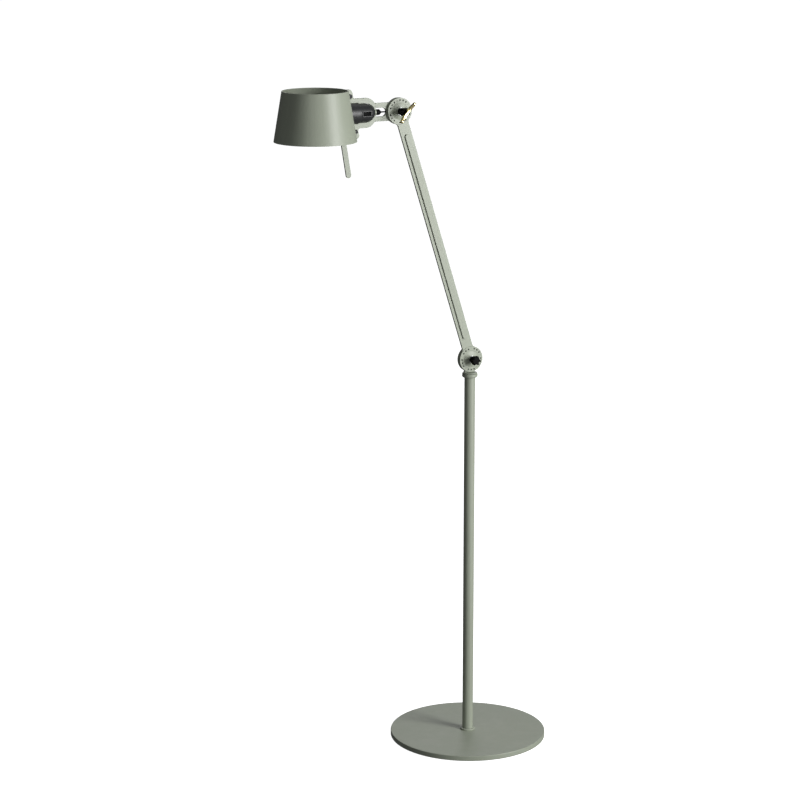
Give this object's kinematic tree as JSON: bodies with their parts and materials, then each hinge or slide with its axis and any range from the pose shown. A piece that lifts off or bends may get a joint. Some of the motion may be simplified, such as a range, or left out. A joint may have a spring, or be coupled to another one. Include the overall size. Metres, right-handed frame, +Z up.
{
  "type": "adjustable arm floor lamp",
  "caption": "Floor lamp with a round base, slim pole, tilting arm on dial hinges with a star knob and brass wing nut, and a tapered open shade with a handle.",
  "frame": {"origin": "centre of the base's underside, on the floor, under the pole's axis", "axes": "+Z up along the pole, -X towards the head at rest, -Y towards the side with the dials and knobs"},
  "size_m": [0.5451, 0.3, 1.2678],
  "materials": {
    "sage_paint": "matte fine-textured powder coat",
    "felt": "pressed felt",
    "zinc_steel": "zinc plated",
    "black_plastic": "satin moulded",
    "black_rubber": "matte",
    "lead_sheath": "satin flexible sheath",
    "black_metal": "blackened",
    "polished_brass": "polished",
    "plain_brass": "turned",
    "porcelain": "glazed",
    "nickel": "nickel plated",
    "frosted_glass": "frosted"
  },
  "bodies": {
    "stand": {"base_plate": "sage_paint", "base_felt_pad": "felt", "base_stud": "zinc_steel", "base_stud_nut": "zinc_steel", "base_stud_washer": "zinc_steel", "lead_outlet_grommet": "black_rubber", "pole_foot_ring": "sage_paint", "pole_foot_plug": "zinc_steel", "pole_tube": "sage_paint", "pole_collar": "sage_paint", "swivel_bush": "black_plastic", "swivel_washer": "black_plastic", "pole_lead": "lead_sheath"},
    "swivel": {"swivel_stem": "sage_paint", "spigot_clip": "zinc_steel", "lower_hinge_bolt": "zinc_steel", "lower_friction_washer": "black_plastic", "stem_lead": "lead_sheath"},
    "arm": {"arm": "sage_paint", "arm_back_cover": "sage_paint", "arm_cover_screws": "zinc_steel", "arm_lead": "lead_sheath"},
    "lower_knob": {"lower_knob": "black_plastic", "lower_knob_insert": "plain_brass", "lower_knob_washer": "zinc_steel"},
    "head": {"head_bracket": "sage_paint", "upper_hinge_bolt": "zinc_steel", "upper_friction_washer": "black_plastic", "head_lead": "lead_sheath", "cable_gland": "black_metal", "holder_nipple": "zinc_steel", "lampholder_cap": "black_plastic", "lampholder_barrel": "black_plastic", "lampholder_collar": "black_plastic", "lampholder_ring": "black_plastic", "lampholder_ceramic": "porcelain", "lamp_contacts": "plain_brass", "switch_bezel": "black_plastic", "bulb_cap": "nickel", "bulb_glass": "frosted_glass", "shade": "sage_paint", "shade_clips": "sage_paint", "shade_rivets": "zinc_steel", "flange_screws": "black_metal", "flange_nuts": "zinc_steel", "handle_bar": "sage_paint"},
    "wing_knob": {"upper_knob": "black_plastic", "upper_knob_insert": "plain_brass", "upper_knob_washer": "zinc_steel", "brass_wing": "polished_brass"},
    "switch": {"switch_rocker": "black_plastic"}
  },
  "joints": [
    {"name": "pole_swivel", "type": "hinge", "parent": "stand", "child": "swivel", "pos_m": [0, 0, 0.7205], "axis": [0, 0, 1], "range_deg": [-170, 170]},
    {"name": "lower_hinge", "type": "hinge", "parent": "swivel", "child": "arm", "pos_m": [0, 0, 0.749], "axis": [0, 1, 0], "range_deg": [-75, 110]},
    {"name": "upper_hinge", "type": "hinge", "parent": "arm", "child": "head", "pos_m": [-0.15239, 0, 1.22364], "axis": [0, 1, 0], "range_deg": [-60, 90]},
    {"name": "lower_knob_turn", "type": "hinge", "parent": "swivel", "child": "lower_knob", "pos_m": [0, 0, 0.749], "axis": [0, -1, 0], "range_deg": [0, 360]},
    {"name": "wing_turn", "type": "hinge", "parent": "head", "child": "wing_knob", "pos_m": [-0.15239, 0, 1.22364], "axis": [0, -1, 0], "range_deg": [0, 360]},
    {"name": "switch_rock", "type": "hinge", "parent": "head", "child": "switch", "pos_m": [-0.22399, -0.01245, 1.22344], "axis": [0, 0, 1], "range_deg": [0, 14]}
  ]
}
